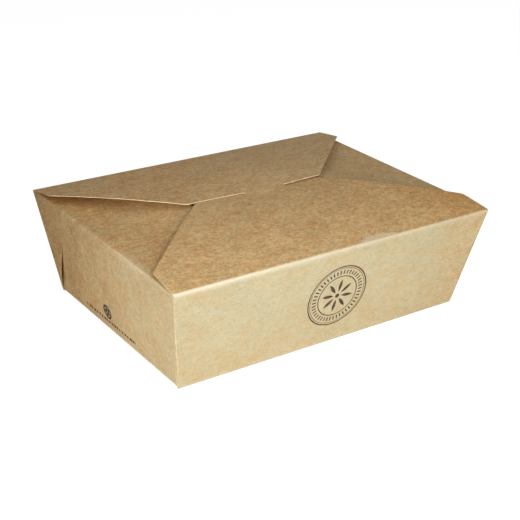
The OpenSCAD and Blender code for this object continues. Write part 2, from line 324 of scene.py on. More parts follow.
# %% Shader maths as expressions
def math_node(operation, flip=False):
    """A method that adds one Math node. With flip the other value comes first."""
    return lambda self, *other: self.maths(operation, *other, flip=flip)


class Value:
    """A socket in a finish. Sums on it add Math nodes."""

    def __init__(self, finish, socket):
        self.finish, self.socket = finish, socket

    def maths(self, operation, *other, flip=False):
        inputs = [*other, self] if flip else [self, *other]
        return self.finish.add("ShaderNodeMath", dict(enumerate(inputs)), operation=operation)

    __add__ = __radd__ = math_node("ADD")
    __mul__ = __rmul__ = math_node("MULTIPLY")
    __sub__, __rsub__ = math_node("SUBTRACT"), math_node("SUBTRACT", flip=True)
    __truediv__, __pow__, __abs__ = math_node("DIVIDE"), math_node("POWER"), math_node("ABSOLUTE")
    __lt__, __gt__ = math_node("LESS_THAN"), math_node("GREATER_THAN")
    larger, smaller = math_node("MAXIMUM"), math_node("MINIMUM")

    def fade(self, low, high):
        """0 below low, 1 above high, smooth between."""
        sockets = {"Value": self, "From Min": low, "From Max": high}
        return self.finish.add("ShaderNodeMapRange", sockets, interpolation_type="SMOOTHSTEP")

    def noise(self, stretch, detail=3.0, rough=0.55, apart=9):
        """Noise from 0 to 1 at this place, in patches of about stretch millimetres each way."""
        scaled = self.finish.add("ShaderNodeVectorMath", {0: self, 1: (*stretch, apart)}, operation="DIVIDE")
        sockets = {"Vector": scaled, "Scale": 1.0, "Detail": detail, "Roughness": rough}
        return self.finish.add("ShaderNodeTexNoise", sockets)


print("a socket now takes", [name.strip("_") for name, way in vars(Value).items() if callable(way)])

# %% [markdown]
# A finish is a material of its own, and the world is made with the same class, since both are trees of nodes.
# Every node comes from one method, and short ones beside it read the sheet's attributes and mix colours.

# %% Finishes and their nodes
FACTOR, COLOUR_A, COLOUR_B, COLOUR_OUT = 0, 6, 7, 2  # a Mix node's sockets when it mixes colours


class Finish:
    """A material, or the world, and the one way in which nodes are added to it."""

    def __init__(self, name, world=None):
        self.material = world or bpy.data.materials.new(name)
        self.material.use_nodes = True
        self.nodes = self.material.node_tree.nodes
        self.nodes.clear()

    def add(self, kind, sockets=(), out=0, **settings):
        """A node of this kind. Its settings are set first, then its sockets are linked or given values."""
        node = self.nodes.new(kind)
        for name, value in settings.items():
            setattr(node, name, value)
        for name, value in dict(sockets).items():
            if isinstance(value, Value):
                self.material.node_tree.links.new(value.socket, node.inputs[name])
            else:
                node.inputs[name].default_value = value
        return Value(self, node.outputs[out]) if node.outputs else None

    def attribute(self, name, out="Fac"):
        return self.add("ShaderNodeAttribute", out=out, attribute_name=name)

    def blend(self, kind, first, second, factor):
        pair = {COLOUR_A: first, COLOUR_B: second}
        colours = {k: v if isinstance(v, Value) else (*v, 1) for k, v in pair.items()}
        settings = {"data_type": "RGBA", "blend_type": kind, "clamp_factor": kind == "MIX"}
        return self.add("ShaderNodeMix", {FACTOR: factor, **colours}, COLOUR_OUT, **settings)

    def mix(self, first, second, factor):
        """Two colours mixed by a factor from 0 to 1."""
        return self.blend("MIX", first, second, factor)

    def multiply(self, first, second, factor=1.0):
        """The first colour times the second. The factor may pass 1 or fall below 0."""
        return self.blend("MULTIPLY", first, second, factor)


def linear(red, green, blue):
    """A screen colour from 0 to 255 as the light values that a shader works in."""
    shares = [c / 255 for c in (red, green, blue)]
    return tuple(round(s / 12.92 if s < 0.04 else ((s + 0.055) / 1.055) ** 2.4, 4) for s in shares)


print("a screen grey of 128 is a light value of", linear(128, 128, 128)[0])

# %% [markdown]
# The front carries a round printed mark, and the left end a small one with a row of dashes under it. A
# picture could be pasted on, but a picture blurs from near. These are rings, ticks and petals, drawn with
# distances and angles from a centre on the flat sheet, so they stay sharp and bend with the board.

# %% Shapes that prints are made of
SOFT = 0.06  # how far the ink's edge blurs to each side


def ring(distance, radius, width):
    return 1 - abs(distance - radius).fade(width / 2 - SOFT, width / 2 + SOFT)


def polar(along, up, centre, turn=0.0):
    """Distance and angle, in turns, from a centre on the flat sheet."""
    x, y = along - centre[0], up - centre[1]
    distance = (x * x + y * y) ** 0.5
    angle = y.maths("ARCTAN2", x) * (0.5 / math.pi) + (1.0 - turn / (2 * math.pi))
    return distance, angle


def off_spoke(angle, count):
    """The angle in radians from the nearest of a number of even spokes."""
    return abs((angle * count).maths("FRACT") - 0.5) * (2 * math.pi / count)


def petals(distance, angle, count, from_r, to_r, fat):
    """Narrow leaves round a centre, widest halfway along."""
    middle, half = (from_r + to_r) / 2, (to_r - from_r) / 2
    leaf = 1 - ((distance - middle) / half) ** 2.0
    inside = (leaf * fat - off_spoke(angle, count) * distance).fade(0.0, 0.15)
    return inside * (distance > from_r) * (distance < to_r)


print("ink edges are", 2 * SOFT, "mm soft")

# %% [markdown]
# The two prints are then short lists of such shapes, with sizes read off the photograph. Each could be a thin
# mesh lying on its wall, but a sheet that thin flickers and casts an edge, so the ink is part of the finish.

# %% Printed marks
INK = linear(60, 47, 41)
FRONT_RUN, END_RUN = 1.57, 97.3  # where the front and end walls start along their strips
STAMP_AT, STAMP_TURN = (1.6, 33.4 + FRONT_RUN), math.radians(15)
STAMP_RINGS = ((20.1, 0.8), (18.9, 0.35), (13.4, 0.65))  # radius and width of line
TICKS, TICK_HALF_W, TICKS_R, TICK_L = 44, 0.5, 16.2, 2.7
FLOWER = {"count": 8, "from_r": 2.6, "to_r": 11.2, "fat": 1.15}
HEART_R = 1.4
BADGE_AT, BADGE_R, BADGE_LINE = (-5.3, 14.2), 4.0, 1.5
BADGE_FLOWER = {"count": 5, "from_r": 0.4, "to_r": 3.4, "fat": 1.4}
DASHES_UP, DASHES_FROM, DASHES_TO, DASH_PITCH, DASH_HALF_H = 7.6, -33.4, 26.0, 3.1, 0.9


def stamp(along, up):
    """The front wall's print: rings, a band of ticks, and a flower with a round heart."""
    distance, angle = polar(along, up, STAMP_AT, STAMP_TURN)
    mark = 1 - distance.fade(HEART_R, HEART_R + 0.15)
    mark = mark.larger(petals(distance, angle, **FLOWER))
    for radius, width in STAMP_RINGS:
        mark = mark.larger(ring(distance, radius, width))
    ticks = (TICK_HALF_W - off_spoke(angle, TICKS) * distance).fade(0.0, 2 * SOFT)
    return mark.larger(ticks * ring(distance, TICKS_R, TICK_L))


def badge(strip, across):
    """The left end wall's print. Up this wall runs against the strip's own direction."""
    along, up = 0 - across, 0 - strip - END_RUN
    distance, angle = polar(along, up, BADGE_AT)
    mark = ring(distance, BADGE_R, BADGE_LINE).larger(petals(distance, angle, **BADGE_FLOWER))
    cell = (along - DASHES_FROM) / DASH_PITCH
    chance = ((cell.maths("FLOOR") * 12.9898).maths("SINE") * 43758.5453).maths("FRACT")
    dash = (cell.maths("FRACT") < chance * 0.45 + 0.4) * (abs(up - DASHES_UP) < DASH_HALF_H)
    return mark.larger(dash * (along > DASHES_FROM) * (along < DASHES_TO))


print("the front print is", 2 * STAMP_RINGS[0][0], "mm across")

# %% [markdown]
# Kraft board is unbleached paper: a warm brown with soft blotches, fine fibres along the mill's direction,
# and a few darker specks. A photograph of paper would repeat and carry its own light, so the pattern is made
# of noises of five sizes, all longer along the fibres. Where sheen is painted on, the board is paler, calmer
# and less yellow; where shade is painted on, it is darker and warmer. At the creases the skin of the board is
# worn through to pale fibres.

# %% Kraft finish
DARK_KRAFT, LIGHT_KRAFT = linear(166, 129, 81), linear(222, 186, 133)
RUST, SPECK, WORN = linear(184, 122, 62), linear(120, 88, 54), linear(228, 216, 191)
PAINTED_LIGHT_TINT = (0.89, 1.13, 1.53)
COOL, WARM = (1.0, 1.03, 1.02), (1.02, 0.97, 0.9)


def calmer(painted_light, by, least):
    """How much of a pattern is left where sheen is painted on."""
    return (1 - painted_light * by).smaller(1).larger(least)


def kraft_tone(place, painted_light, rough):
    """Light and dark from 0 to 1, with the fibres and streaks that the bump needs too."""
    clouds = place.noise((26, 17))
    blotches = place.noise((5.5, 3.8), rough=0.6)
    streaks = place.noise((2.8, 1.7), 2.0, 0.65)
    fibres = place.noise((1.0, 0.6), 2.0, 0.7)
    flecks = place.noise((0.45, 0.32), 1.0, 0.7)
    grain = (blotches - 0.5) * 0.6 + (streaks - 0.5) * 1.1 + (fibres - 0.5) * 1.5 + (flecks - 0.5) * 1.4
    tone = ((clouds - 0.5) * 0.6 + grain * rough) * calmer(painted_light, 0.65, 0.33)
    # Painted shade: where the painted light falls below 0, the tone is darker.
    return (tone + painted_light.smaller(0) * 0.6 + 0.5).larger(0).smaller(1), fibres, streaks


def kraft_colour(finish, place, painted_light, tone):
    """The board's colour, with its painted sheen and painted shade, before wear and print."""
    colour = finish.mix(DARK_KRAFT, LIGHT_KRAFT, tone)
    warmth = place.noise((14, 9), 2.0, apart=30).fade(0.35, 0.65)
    colour = finish.multiply(colour, finish.mix(COOL, WARM, warmth))
    rust = place.noise((7, 4.5), rough=0.6, apart=30).fade(0.56, 0.74)
    colour = finish.mix(colour, RUST, rust * 0.5 * calmer(painted_light, 0.75, 0.2))
    specks = place.noise((0.8, 0.5), 1.0).fade(0.72, 0.8)
    colour = finish.mix(colour, SPECK, specks * 0.3 * calmer(painted_light, 0.8, 0.15))
    # Painted sheen makes the colour paler and cooler; painted shade, below 0, makes it warmer.
    return finish.multiply(colour, PAINTED_LIGHT_TINT, painted_light)


def kraft(name, print_of=None, painted_sheen_tint=None, rough=1.25):
    finish = Finish(name)
    place, painted_light = finish.attribute("blank", "Vector"), finish.attribute("painted_light")
    tone, fibres, streaks = kraft_tone(place, painted_light, rough)
    colour = kraft_colour(finish, place, painted_light, tone)
    worn = finish.attribute("crease") * (place.noise((3, 0.8)) * 0.8 + 0.3)
    colour = finish.mix(colour, WORN, worn)
    # A tint over the whole finish: painted sheen on one panel.
    if painted_sheen_tint:
        colour = finish.multiply(colour, painted_sheen_tint)
    if print_of:
        along, up = (finish.add("ShaderNodeSeparateXYZ", {0: place}, out=k) for k in ("X", "Y"))
        patchy = place.noise((0.9, 0.5), 2.0).fade(0.3, 0.5) * 0.25 + 0.75
        colour = finish.mix(colour, INK, print_of(along, up) * patchy)
    height = fibres + streaks * 0.9 + place.noise((4, 3), 2.0) * 0.8
    bump = finish.add("ShaderNodeBump", {"Strength": 1.0, "Distance": 0.0001, "Height": height})
    sockets = {"Base Color": colour, "Roughness": 0.82, "Specular IOR Level": 0.2, "Normal": bump}
    board = finish.add("ShaderNodeBsdfPrincipled", sockets)
    finish.add("ShaderNodeOutputMaterial", {"Surface": board})
    return finish.material


KRAFT = kraft("kraft")
KRAFT_STAMPED = kraft("kraft_stamped", stamp)
KRAFT_BADGE = kraft("kraft_badge", badge)
# The rear flap's finish: a faint tint of painted sheen and a stronger grain.
KRAFT_REAR_SHEEN = kraft("kraft_rear_flap_painted_sheen", painted_sheen_tint=(1.01, 1.0, 1.02), rough=1.6)
print("kraft finishes", [m.name for m in bpy.data.materials])

# %% [markdown]
# The cut edge shows the raw inside of the board, which is paler and fuzzier than its pressed skin.

# %% Cut edge of the board
def cut_edge():
    finish = Finish("cut_edge")
    fuzz = finish.attribute("blank", "Vector").noise((1.5, 1.5))
    colour = finish.mix(linear(200, 172, 130), linear(236, 216, 180), fuzz)
    board = finish.add("ShaderNodeBsdfPrincipled", {"Base Color": colour, "Roughness": 0.9})
    finish.add("ShaderNodeOutputMaterial", {"Surface": board})
    return finish.material


CUT_EDGE = cut_edge()
print("and", CUT_EDGE.name)

# %% [markdown]
# Light is painted into the board's colour. The lid is the plain brown, and the front wall, which lies in the
# light, is given a painted sheen that makes it paler. This is written as a number on each point, 0 for plain,
# 1 for the front's painted sheen and below 0 for painted shade, because the change runs softly over the panels
# and round the corners, where separate finishes would meet in a line.

# %% Painted sheen on the walls, and their wear
def end_painted_sheen(y):
    """Painted sheen on the end walls, stronger towards the front, like the front wall's."""
    return np.clip(0.4 - 0.0065 * y, 0, 0.85)


def front_painted_sheen(x, up):
    """Painted sheen on the front wall: strongest along its upper middle, less at its right end, which stays
    browner.
    """
    upper = ease(up, 10, 45) * (1 - ease(x, 66, 88))
    middle = ease(x, -95, -70) * ease(-x, -20, 50)
    return 1 + (0.12 + 0.12 * middle) * upper - 0.3 * ease(x, 66, 95)


def front_wear(x):
    """The front folds are rubbed pale, most of all at the left."""
    return 0.8 * (1 - 0.65 * ease(x, -90, 50))


print("paleness at the front corner", round(float(end_painted_sheen(-HALF_W)), 2), "on the end wall")

# %% [markdown]
# A long wall goes on round its two upright corners, and there becomes a web: the sheet is folded back on
# itself and glued flat outside the end wall. Walls, corners and webs could be separate pieces, but then each
# corner would show a seam. So they are patches of one sheet, row by row from the base up.

# %% A long wall and its corners
CORNER_TURN = np.linspace(0, math.pi / 2, 9)


def corner_centre(up):
    """Where the upright corner's bend is centred at a height: along the box and across it."""
    return HALF_L + up * END_SLOPE - CORNER_FOLD, HALF_W + up * LONG_SLOPE - CORNER_FOLD


def long_panel(path, x, side):
    """The points and outward directions of a long panel. side is -1 for the front and 1 for the rear."""
    normal = path.normal
    outer = grid(x, side * path.out, path.up)
    return outer, grid(0 * x, side * normal[:, :1], normal[:, 1:])


def corner(sheet, path, side, end, near):
    """The bend at one upright corner, whose painted sheen goes from the wall's to the web's."""
    up, normal = path.up, path.normal
    centre_x, centre_y = corner_centre(up)
    radius = np.maximum(path.out - centre_y, 0)
    sine, cosine = np.sin(CORNER_TURN), np.cos(CORNER_TURN)
    xs = end * (centre_x + radius * sine)
    ys = side * (centre_y + radius * cosine)
    facing = grid(end * normal[:, :1] * sine, side * normal[:, :1] * cosine, normal[:, 1:])
    blank = grid(end * (centre_x + CORNER_FOLD * CORNER_TURN), path.run, LONG_PATTERN * side)
    by_half_way = np.clip(2 * CORNER_TURN / (math.pi / 2), 0, 1)
    painted_light = near + (end_painted_sheen(ys) - near) * by_half_way
    sheet.patch(grid(xs, ys, up), facing, blank, 0, painted_light=painted_light)


print("at the rim the corners' bends are centred at", [round(c, 1) for c in corner_centre(WALL_H)])

# %% [markdown]
# One rear web has come unstuck low down, and its folded edge bows off the end wall. The bow is a lens along
# the edge, widest near the foot, that dies away across the web.

# %% Folded corner webs
WEB_FOOT, WEB_TOP = 1.3, 63.0
SPRUNG_L, SPRUNG_GAP, SPRUNG_FROM = 44.0, 1.1, 1.6
ROW_ROOM = 0.01  # keeps a row that lies just at a limit


def sprung_out(run, from_edge, width):
    """How far the loose web stands off, by height along the slope and distance from its folded edge."""
    reach = SPRUNG_L * math.cos(WEB_SLANT)
    t = np.clip((run - SPRUNG_FROM) / (reach - SPRUNG_FROM), 0, 1)
    bow = np.sin(math.pi * t ** 0.6) ** 1.1
    return SPRUNG_GAP * bow * np.clip(1 - from_edge / np.minimum(width, 24), 0, 1) ** 1.4


def web(sheet, path, side, end, sprung):
    """One web: its outer ply, the round nose of its folded edge, and its inner ply behind."""
    up = path.up
    up = up[(up > WEB_FOOT) & (up <= WEB_TOP + ROW_ROOM)][:, None]
    slope = up / math.cos(END_LEAN)
    corner_y = corner_centre(up)[1]
    free = HALF_W - slope * math.tan(WEB_SLANT)
    edge = free + BOARD
    outer_ply = np.linspace(0, 1, 25) ** 0.8
    nose = np.linspace(0, math.pi, 9)[1:]
    inner_ply = np.linspace(0, 1, 13)[1:]
    y_outer = corner_y + (edge - corner_y) * outer_ply
    y_nose = edge - BOARD * np.sin(nose)
    y_inner = edge + (corner_y - 0.4 - free - BOARD) * inner_ply
    ys = np.concatenate([y_outer, y_nose, y_inner], 1)
    depth = np.concatenate([0 * outer_ply, BOARD * (1 - np.cos(nose)), 2 * BOARD + 0 * inner_ply])
    tilt = np.concatenate([0 * outer_ply, nose, math.pi + 0 * inner_ply])
    face = np.array([end * math.cos(END_LEAN), 0, -math.sin(END_LEAN)])
    sheet_x = HALF_L + up * END_SLOPE
    outer = grid(end * sheet_x, side * ys, up) - depth[:, None] * face
    if sprung:
        outer = outer + sprung_out(slope, ys - free, np.maximum(corner_y - free, 3))[..., None] * face
    towards_free = np.array([0, -side, 0])
    facing = np.cos(tilt)[:, None] * face + np.sin(tilt)[:, None] * towards_free + 0 * outer
    folded = np.abs(ys - corner_y)
    blank = grid(end * (sheet_x + folded), slope, LONG_PATTERN * side)
    worn = 0.5 * np.exp(-(folded / CREASE_REACH) ** 2)
    sheet.patch(outer, facing, blank, worn, board=BOARD - 0.03, painted_light=end_painted_sheen(side * ys))


def long_wall(sheet, path, side, x, sprung_end=None):
    """A long wall with its two corners and webs. sprung_end is the end, -1 or 1, whose web is loose."""
    run = path.run
    # Painted sheen: the front wall's from its map, the rear wall's an even 0.6.
    painted_light_level = front_painted_sheen(x, run) if side < 0 else 0.6 + 0 * x
    worn = front_wear(x) if side < 0 else 0.5
    worn = worn * (0.3 + 0.7 * ease(path.up, 5, 20)) * path.crease
    outer, facing = long_panel(path, x, side)
    sheet.patch(outer, facing, grid(x, run, LONG_PATTERN * side), worn, painted_light=painted_light_level)
    for end in (-1, 1):
        near = painted_light_level[:, :1] if end < 0 else painted_light_level[:, -1:]
        corner(sheet, path, side, end, near)
        web(sheet, path, side, end, sprung_end == end)


LONG_WALL_FOOT = [(HALF_W - UNDER_BASE, 0), (HALF_W, 0), (HALF_W + WEB_TOP * LONG_SLOPE, WEB_TOP)]
print("the loose web stands off by up to", SPRUNG_GAP, "mm")

# %% [markdown]
# The two long flaps have one kind of outline: a short straight side, then a slant to the seam. It could be
# traced point by point, but as a formula both flaps and both of their ends share it.
# The tab holds the middle of the seam down, so both flaps settle there.

# %% Outlines and sag of the long flaps
FLAP_SIDE = RIM_L - SIDE_INSET
CLEAR = 0.06  # keeps the long flaps' edges just inside the solid model's


def flap_half(y, seam_half, tail=0.0, rounding=1.6):
    """Half-width of a long lid flap at a distance from the middle, with its last corners rounded."""
    straight = RIM_L - SIDE_INSET * (RIM_W - y) / SIDE_L
    slant = seam_half + (FLAP_SIDE - seam_half) * y / (RIM_W - SIDE_L)
    edge = np.clip(1 - (y + tail) / rounding, 0, 1)
    return np.minimum(straight, slant) - rounding * (1 - np.sqrt(1 - edge ** 2)) - CLEAR


def at_tab(x, outside, inside):
    """1 across the tab and 0 beyond it, changing between two distances from the tab's sides."""
    return ease(-abs(x - TAB_X), -TAB_W / 2 - outside, -TAB_W / 2 + inside)


def settle(x, y):
    """How far both lid flaps sink round the tab, which holds the middle of the seam down."""
    return -1.1 * np.exp(-((x - TAB_X) / 24) ** 2 - (y / 22) ** 2)


def pinch(x, y):
    """How far both flaps dip behind the slit, so that its front edge hides the tab's bend."""
    return -0.75 * np.exp(-np.maximum(y, 0) / 3.5) * at_tab(x, 2, 0.5)


print("the seam sinks by up to", round(float(-settle(TAB_X, 0.0) - pinch(TAB_X, 0.0)), 2), "mm at the tab")

# %% [markdown]
# The front wall, its crease and the front lid flap are one run of board, from beneath the base to a little way
# under the rear flap. Two of its columns fall on the slit's ends. A plain vault would look like sheet metal,
# so ripples, the sag, a small lip before the slit and a rubbed patch at the fold make it paper.

# %% The front's rows and columns
SLIT_ROOM = 0.1
SLIT_NEAR, SLIT_FAR = SLIT_GAP + SLIT_ROOM, -BOARD - SLIT_GAP - SLIT_ROOM
FRONT_COUNTS = [48, 14, 48]


def front_path():
    """Rows from under the base, up the wall, over the fold and along the flap, past its slit to its tip."""
    ys = [RIM_W - 1.7, RIM_W - 1.95] + list(np.linspace(RIM_W - 4, 2, 42)) + [SLIT_NEAR, SLIT_FAR]
    ys += list(np.linspace(-3, -FRONT_TAIL + 1.5, 7)) + [-FRONT_TAIL + 0.7, -FRONT_TAIL + 0.2, -FRONT_TAIL]
    corners = LONG_WALL_FOOT + [(RIM_W, WALL_H)] + vault(FRONT_RISE, ys)
    return fold_path(corners, [0, BASE_FOLD, 0, RIM_FOLD] + [0] * len(ys))


def front_columns(path, wall_top):
    """Columns across the wall and the flap, with knots at the slit's ends."""
    half = flap_half(path.out, FRONT_SEAM_HALF, FRONT_TAIL, 3.0)
    half[:wall_top + 1] = corner_centre(path.up[:wall_top + 1])[0]
    half[wall_top:wall_top + 6, 0] = np.interp(np.arange(6), [0, 5], [half[wall_top, 0], RIM_L - CLEAR])
    slit_l, slit_r = TAB_X - TAB_W / 2 - SLIT_GAP, TAB_X + TAB_W / 2 + SLIT_GAP
    return spread(np.hstack([-half, slit_l + 0 * half, slit_r + 0 * half, half]), FRONT_COUNTS)


def front_flap_points(path, x):
    """The vault, with its ripples, its sag round the tab, the lip before the slit and a dip beside it."""
    outer, facing = long_panel(path, x, -1)
    free = np.clip((RIM_W - 3 - path.out) / 20, 0, 1)
    outer = outer + facing * (ripple(x, path.run) * free)[..., None]
    y = -path.out + 0 * x
    lip = 0.75 * np.exp(-np.maximum(-y - 0.4, 0) / 3) * (y < -0.3) * at_tab(x, 1, 1)
    dip = -0.9 * ease(x, 17, 24) * np.exp(-(y / 14) ** 2)
    outer[..., 2] += settle(x, y) + lip + dip + np.where(y > 0.5, pinch(x, y), 0)
    return outer, facing


def rubbed_patch(x, past):
    """Where the flap is rubbed pale just past the front fold, with an uneven far edge."""
    far_edge = 0.75 + 0.25 * np.sin(1.1 * x) * np.sin(0.43 * x + 1)
    height = 4.5 * ease(x, 11, 17) * ease(-x, -40, -30) * far_edge
    return ease(height - past, 0, 1.2) * ease(height, 0.2, 1)


# %% [markdown]
# The slit could be cut with a Boolean, but squares simply left out give the same slit with clean faces round
# it. The wall's painted sheen stops within the fold itself, which is why the fold reads as a thin bright
# line. The flap has a little painted sheen over its left half, and painted shade, a deeper brown, at its far
# right corner.

# %% The front piece
def front_piece():
    path = front_path()
    wall_top = int(np.flatnonzero(path.up > WEB_TOP + ROW_ROOM)[0])
    x = front_columns(path, wall_top)
    sheet = Sheet("front_wall_and_flap")
    long_wall(sheet, Path(*(values[:wall_top + 1] for values in path)), -1, x[:wall_top + 1])

    path, x = Path(*(values[wall_top:] for values in path)), x[wall_top:]
    out, run = path.out, path.run
    past = run - run[0] - 3
    outer, facing = front_flap_points(path, x)
    over_fold = ease(RIM_W - out, 0.9, 1.5)
    rubbed = rubbed_patch(x, past) * over_fold
    # Painted sheen over the flap's left half, and painted shade at its far right corner.
    on_flap = 0.12 * ease(-x, -60, 0) - 0.35 * ease(x, 65, 105)
    on_wall = front_painted_sheen(x, run)
    painted_light_level = on_wall + (on_flap - on_wall) * over_fold
    worn = np.maximum(front_wear(x) * path.crease * (1 - over_fold), 0.55 * rubbed)
    slit_rows = ((out[:-1] <= SLIT_NEAR + 1e-6) & (out[1:] >= SLIT_FAR - 1e-6))[:, 0]
    keep = np.ones((len(x) - 1, x.shape[1] - 1), bool)
    slit_from = FRONT_COUNTS[0]
    keep[np.ix_(slit_rows, range(slit_from, slit_from + FRONT_COUNTS[1]))] = False
    sheet.patch(outer, facing, grid(x, run, -LONG_PATTERN), worn, keep, painted_light=painted_light_level)
    return sheet.build([KRAFT_STAMPED, CUT_EDGE])


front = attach(front_piece(), "box")
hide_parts("folded_box")

# %% [markdown]
# The rear wall is made like the front one, but it stops at its crease, because the rear flap beyond it is the
# part that opens. The crease's axis is the packed model's hinge.

# %% The rear wall
joint = frame["joints"][0]
HINGE_Y, HINGE_Z = (1000 * v for v in joint["pos_m"][1:])


def rear_wall_piece():
    top = (HINGE_Y + RIM_FOLD * math.cos(LONG_LEAN), HINGE_Z - RIM_FOLD * math.sin(LONG_LEAN))
    path = fold_path(LONG_WALL_FOOT + [top], [0, BASE_FOLD, 0, 0])
    half = corner_centre(path.up)[0]
    sheet = Sheet("rear_wall")
    long_wall(sheet, path, 1, spread(np.hstack([-half, half]), [110]), sprung_end=-1)
    return sheet.build([KRAFT, CUT_EDGE])


rear_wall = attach(rear_wall_piece(), "box")
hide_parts("folded_box")

# %% [markdown]
# The base, the end walls and the end flaps are one strip that runs the length of the box. The end flaps close
# first, so they slope up a little from creases that lie just below the rim. The strip is drawn once, from the
# middle of the base to the tip of a flap, and used for both ends, with columns gathered at the edges of
# the webs, where the end wall bulges out between them and the loose web needs its dark gap.

# %% The end strip's rows and columns
BULGE = 0.95
END_COUNTS = [16, 2, 1, 6, 52, 6, 1, 2, 16]
RIM_UP = WALL_H - END_DROP
RIM_V = RIM_UP / math.cos(END_LEAN)  # the rim's height along the end wall's slope


def end_path():
    rim_out = END_FOOT + RIM_UP * END_SLOPE
    tilt = math.radians(END_TILT)
    tip = (rim_out - END_FLAP_L * math.cos(tilt), RIM_UP + END_FLAP_L * math.sin(tilt))
    return fold_path([(0, 0), (END_FOOT, 0), (rim_out, RIM_UP), tip], [0, BASE_FOLD, END_RIM_FOLD, 0])


def end_halves(path, past):
    """Half-width of the strip at each row, and how far out its webs reach in."""
    up, run = path.up, path.run
    inner = np.minimum(HALF_W + up * LONG_SLOPE - 0.47, HALF_W - UNDER_BASE + 1.27 * up)
    flap = END_FLAP_W / 2 - past * math.tan(math.radians(END_TAPER))
    edge = np.clip(1 - (run[-1] - run) / END_CORNER, 0, 1)
    flap = flap - 0.7 * END_CORNER * (1 - np.sqrt(1 - edge ** 2))
    shoulder = np.minimum(inner, END_FLAP_W / 2 + 1.5 - past)
    half = np.where(past > 1.5, flap, np.where(past > 0, shoulder, inner))
    half[run < END_FOOT - 2] = HALF_W - UNDER_BASE
    reach = np.clip(run - END_RUN, 0, RIM_V + 8) * math.tan(WEB_SLANT)
    web_edge = np.maximum(np.minimum(HALF_W - reach, half - 1.2), half * 0.3)
    return half, web_edge


def end_columns(half, web_edge):
    knots = np.hstack([web_edge - 1.6, web_edge + 0.48, web_edge + 0.5, web_edge + 1.0, half])
    return spread(np.hstack([-knots[:, ::-1], knots]), END_COUNTS)


print("the end wall is", round(RIM_V, 1), "mm up its slope")

# %% [markdown]
# Between its webs an end wall isn't glued, so it bulges out a little. Behind the loose web it is pushed in
# instead, which opens the dark gap. Both could be sculpted, but formulas die away just at the creases.

# %% Base, end walls and end flaps
def behind_loose_web(bulge, y, v, web_edge):
    """The left end wall near its loose web: pushed in behind it, with a pressed line and a lower edge."""
    gap = 1.5 * np.sin(math.pi * np.clip((v - 1.8) / 40, 0, 1) ** 0.6)
    under = y - web_edge + gap
    hollow = (y > 0) * ease(gap, 0, 0.3) * ease(under, -0.1, 0.3) * (1 - ease(under, 6, 16))
    bulge = bulge - (2.4 + bulge) * hollow
    line = np.exp(-((y + 62.9 - 0.43 * v) / 1.4) ** 2)
    return bulge + 0.22 * line * ease(v, 26, 36) * (1 - ease(v, 56, 62))


def end_strip_piece():
    sheet = Sheet("base_ends_and_end_flaps")
    path = end_path()
    out, up, normal, run, crease = path
    past = np.maximum(run - (run[-1] - END_FLAP_L), 0)
    half, web_edge = end_halves(path, past)
    y = end_columns(half, web_edge)
    v = run - END_RUN
    at_rim = ease(v, RIM_V - 1.0, RIM_V - 0.9)
    between = np.maximum(ease(web_edge - abs(y), -1.0, -0.5), at_rim)
    full = ease(v, 1.5, 6) * (1 - ease(v, RIM_V + 2, RIM_V + 40))
    lift = ease(past, 25, 62) * (2.2 + 0.6 * np.maximum(1 - (y / 36) ** 2, 0))
    for end in (-1, 1):
        outer = grid(end * out, y, up)
        facing = grid(end * normal[:, :1], 0 * y, normal[:, 1:])
        bulge = BULGE * between * full + ripple(run * end, y) * ease(past, 3, 15)
        worn = crease * np.where(v > 20, 0.05, 0.6)
        # Painted sheen on the end flaps.
        on_flap = 0.3
        if end < 0:
            bulge = behind_loose_web(bulge, y, v, web_edge)
            bulge = bulge - 0.2 * ease(-y - web_edge, 0, 3) * at_rim * full
            rubbed = np.exp(-((v - RIM_V + 0.5) / 2.5) ** 2) * ease(-y, 12, 30) * (1 - ease(-y, 52, 66))
            worn = np.maximum(worn, 0.3 * rubbed)
            # Painted shade on the left end flap, under the rear flap's left corner.
            on_flap = -0.5 * ease(y, 20, 60)
        outer = outer + facing * bulge[..., None] + np.array([0, 0, 1]) * lift[..., None]
        on_wall = end_painted_sheen(y)
        painted_light_level = on_wall + (on_flap - on_wall) * ease(v, RIM_V - 0.4, RIM_V + 0.6)
        sheet.patch(outer, facing, grid(end * run, y, ENDS_PATTERN), worn, painted_light=painted_light_level)
    return sheet.build([KRAFT_BADGE, CUT_EDGE])


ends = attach(end_strip_piece(), "box")
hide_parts("folded_box")

# %% [markdown]
# The rear flap opens about its crease.
# Its tab leaves the seam between two small cuts and curves down through the slit. A straight tab would jam or
# cut through the front flap when the lid is lifted. So the curve is a circle about the crease, along which
# the tab draws straight out.

# %% Rows of the rear flap and its tab
TAB_L, TAB_R = TAB_X - TAB_W / 2, TAB_X + TAB_W / 2
SEAM_UP = WALL_H + LID_RISE
CREASE_ROWS = 15


def rear_rows(ys):
    """Rows on the rear vault: distance from the middle, height, and the angle its outer face looks at."""
    return [(y, VAULT_Z + math.sqrt(VAULT_R ** 2 - y * y), math.acos(y / VAULT_R)) for y in ys]


def round_rows(y, z, radius, angles):
    """Rows on a circle about a point."""
    return [(y + radius * math.cos(a), z + radius * math.sin(a), a) for a in angles]


def run_along(rows):
    """How far along the sheet each row lies."""
    return np.concatenate([[0], np.cumsum(np.hypot(*np.diff(rows[:, :2], axis=0).T))])[:, None]


def flap_rows():
    crease_to = math.atan2(HINGE_Z - VAULT_Z, HINGE_Y)
    crease = round_rows(HINGE_Y, HINGE_Z, RIM_FOLD, np.linspace(-LONG_LEAN, crease_to, CREASE_ROWS))
    ys = list(np.linspace(HINGE_Y - 1.5, NECK_CUT + 2, 41)) + [NECK_CUT, 1.7, TAB_BEND]
    return np.array(crease + rear_rows(ys))


